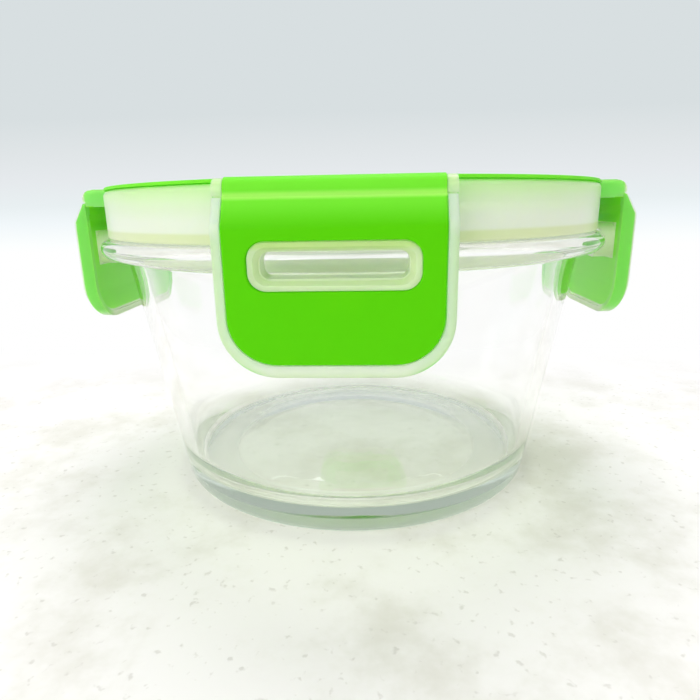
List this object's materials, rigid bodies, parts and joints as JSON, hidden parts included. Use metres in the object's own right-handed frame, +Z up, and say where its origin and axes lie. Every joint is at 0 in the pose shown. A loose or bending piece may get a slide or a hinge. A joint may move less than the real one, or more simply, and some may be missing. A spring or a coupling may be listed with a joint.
{
  "type": "glass storage container",
  "caption": "Round tapered glass food container with a rolled rim and a translucent plastic lid, held shut by hinged latches whose windows hook over the glass flange.",
  "frame": {"origin": "the middle of the circle that the foot stands on", "axes": "+Z up along the bowl's axis; the front latch faces -Y, the others face +X, +Y and -X"},
  "size_m": [0.1596, 0.1596, 0.088],
  "materials": {
    "clear_glass": "clear pressed soda-lime glass with a faint green tint",
    "frosted_polypropylene": "natural translucent polypropylene, lit green by the layer over it",
    "lime_green_overmould": "satin lime green",
    "white_silicone": "translucent white silicone"
  },
  "bodies": {
    "bowl": {"glass_bowl": "clear_glass"},
    "lid": {"lid_panel": "frosted_polypropylene", "lid_trim": "lime_green_overmould", "seal_ring": "white_silicone"},
    "latch_front": {"latch_frame_front": "frosted_polypropylene", "latch_grip_front": "lime_green_overmould"},
    "latch_right": {"latch_frame_right": "frosted_polypropylene", "latch_grip_right": "lime_green_overmould"},
    "latch_back": {"latch_frame_back": "frosted_polypropylene", "latch_grip_back": "lime_green_overmould"},
    "latch_left": {"latch_frame_left": "frosted_polypropylene", "latch_grip_left": "lime_green_overmould"}
  },
  "joints": [
    {"name": "lid_lift", "type": "slide", "parent": "bowl", "child": "lid", "axis": [0, 0, 1], "range_m": [0, 0.02]},
    {"name": "latch_front_hinge", "type": "hinge", "parent": "lid", "child": "latch_front", "pos_m": [0, -0.0767, 0.0843], "axis": [-1, 0, 0], "range_deg": [0, 135]},
    {"name": "latch_right_hinge", "type": "hinge", "parent": "lid", "child": "latch_right", "pos_m": [0.0767, 0, 0.0843], "axis": [0, -1, 0], "range_deg": [0, 135]},
    {"name": "latch_back_hinge", "type": "hinge", "parent": "lid", "child": "latch_back", "pos_m": [0, 0.0767, 0.0843], "axis": [1, 0, 0], "range_deg": [0, 135]},
    {"name": "latch_left_hinge", "type": "hinge", "parent": "lid", "child": "latch_left", "pos_m": [-0.0767, 0, 0.0843], "axis": [0, 1, 0], "range_deg": [0, 135]}
  ],
  "couplings": [
    {"joint": "latch_front_hinge", "follows": "lid_lift", "rad_per_m": 117.8},
    {"joint": "latch_right_hinge", "follows": "lid_lift", "rad_per_m": 117.8},
    {"joint": "latch_back_hinge", "follows": "lid_lift", "rad_per_m": 117.8},
    {"joint": "latch_left_hinge", "follows": "lid_lift", "rad_per_m": 117.8}
  ]
}
